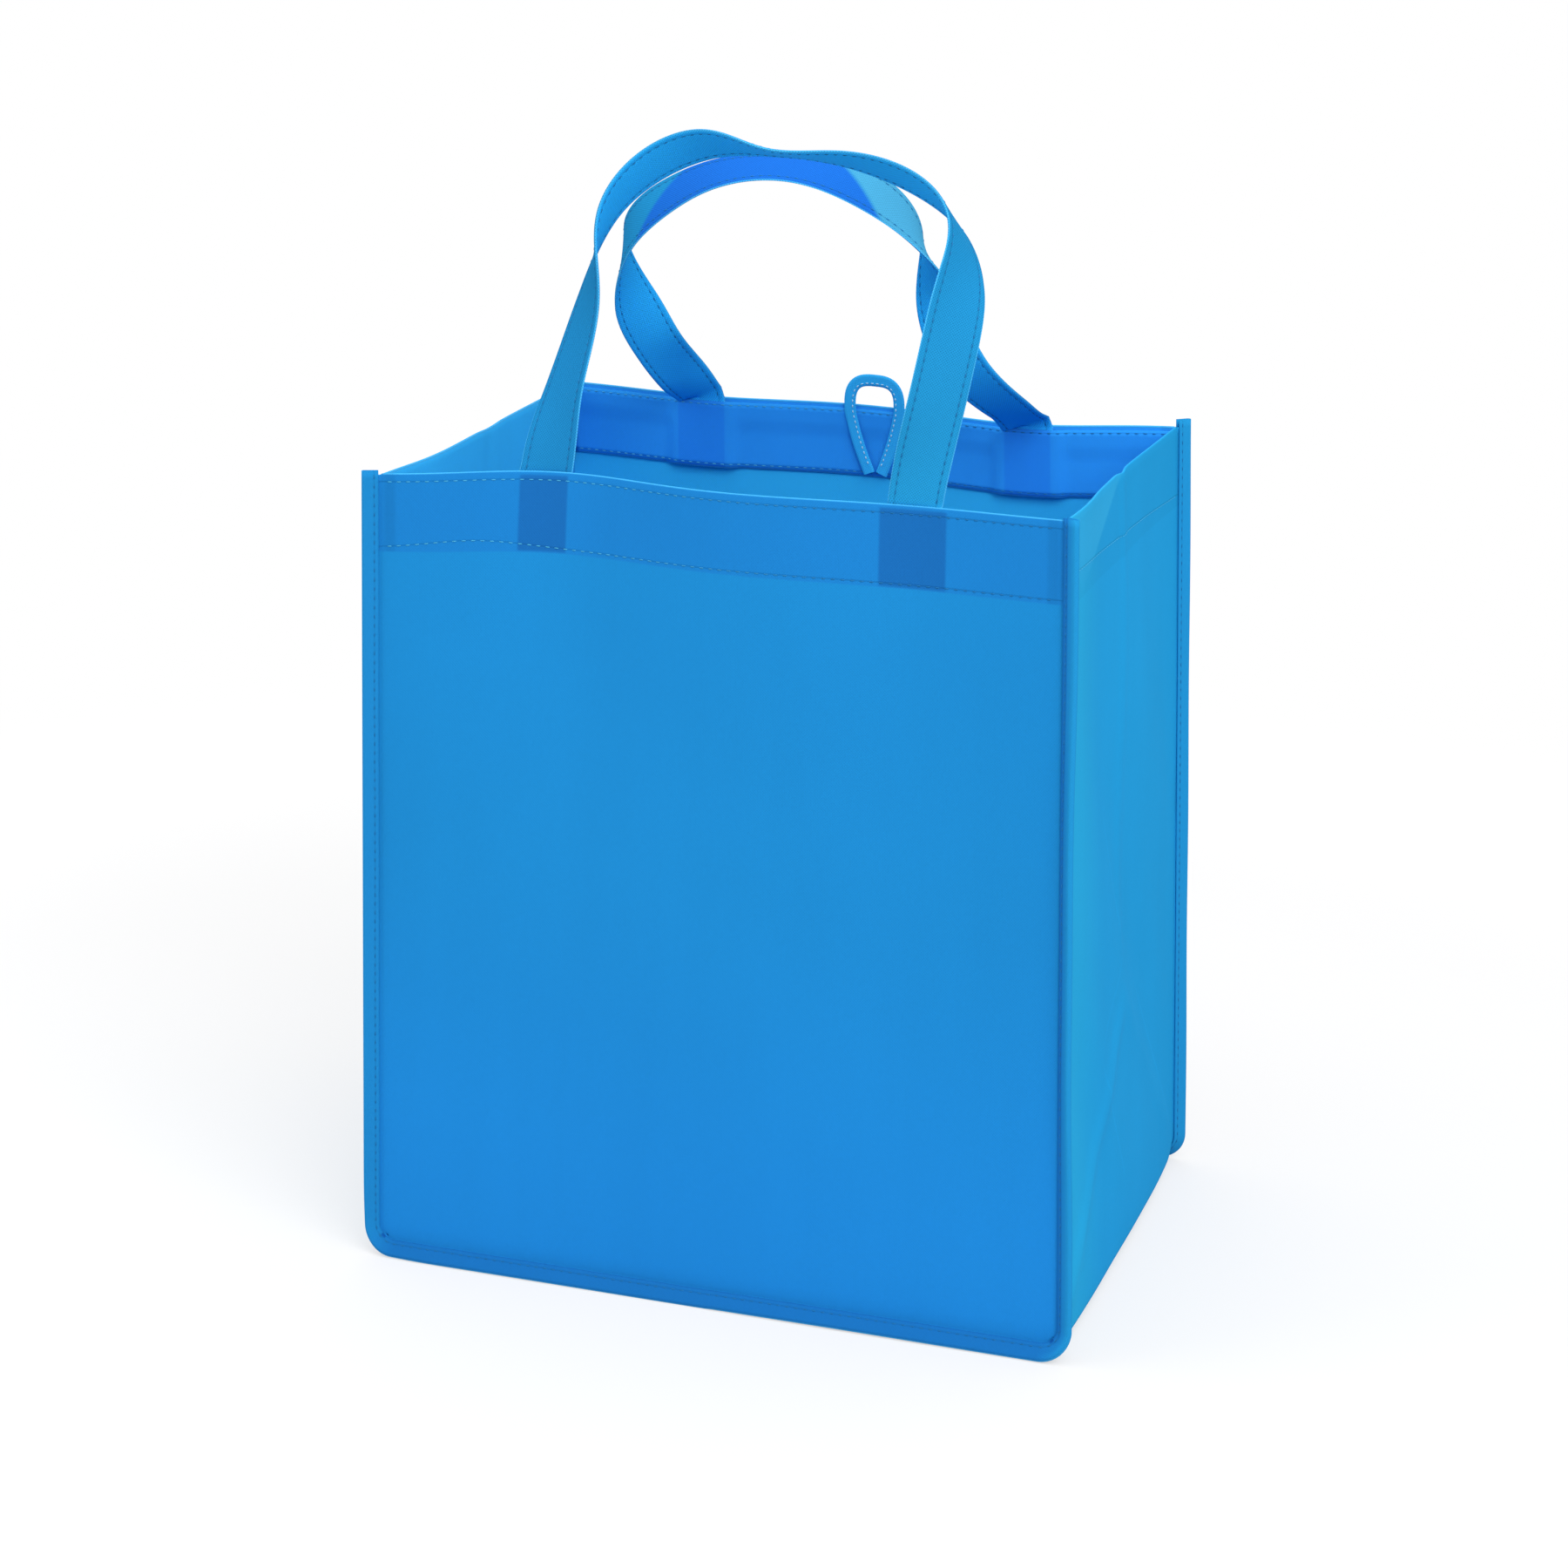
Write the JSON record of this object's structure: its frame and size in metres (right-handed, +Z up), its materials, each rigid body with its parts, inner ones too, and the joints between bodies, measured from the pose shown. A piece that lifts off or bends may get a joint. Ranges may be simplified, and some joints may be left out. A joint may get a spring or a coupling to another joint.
{
  "type": "non-woven tote bag",
  "caption": "Open-topped gusseted carrier bag of blue non-woven cloth with bound outward seams, hemmed mouth, twisted strap handles and a small hang loop inside the back hem.",
  "frame": {"origin": "on the floor under the middle of the base", "axes": "+Z up, from base to mouth; +X towards the bag's right side seen from the front; the front panel faces -Y"},
  "size_m": [0.3484, 0.264, 0.5352],
  "materials": {
    "panel_cloth": "matte non-woven, faintly embossed",
    "gusset_cloth": "matte non-woven, faintly embossed",
    "binding_cloth": "matte non-woven",
    "facing_cloth": "matte non-woven",
    "strap_cloth": "matte non-woven, dotted embossing",
    "board": "matte"
  },
  "bodies": {
    "root": {"front_panel": "panel_cloth", "back_panel": "panel_cloth", "gusset_strip": "gusset_cloth", "front_edge_binding": "binding_cloth", "back_edge_binding": "binding_cloth", "front_hem_facing": "facing_cloth", "back_hem_facing": "facing_cloth", "front_handle": "strap_cloth", "back_handle": "strap_cloth", "hang_loop": "strap_cloth", "base_board": "board"}
  },
  "joints": []
}
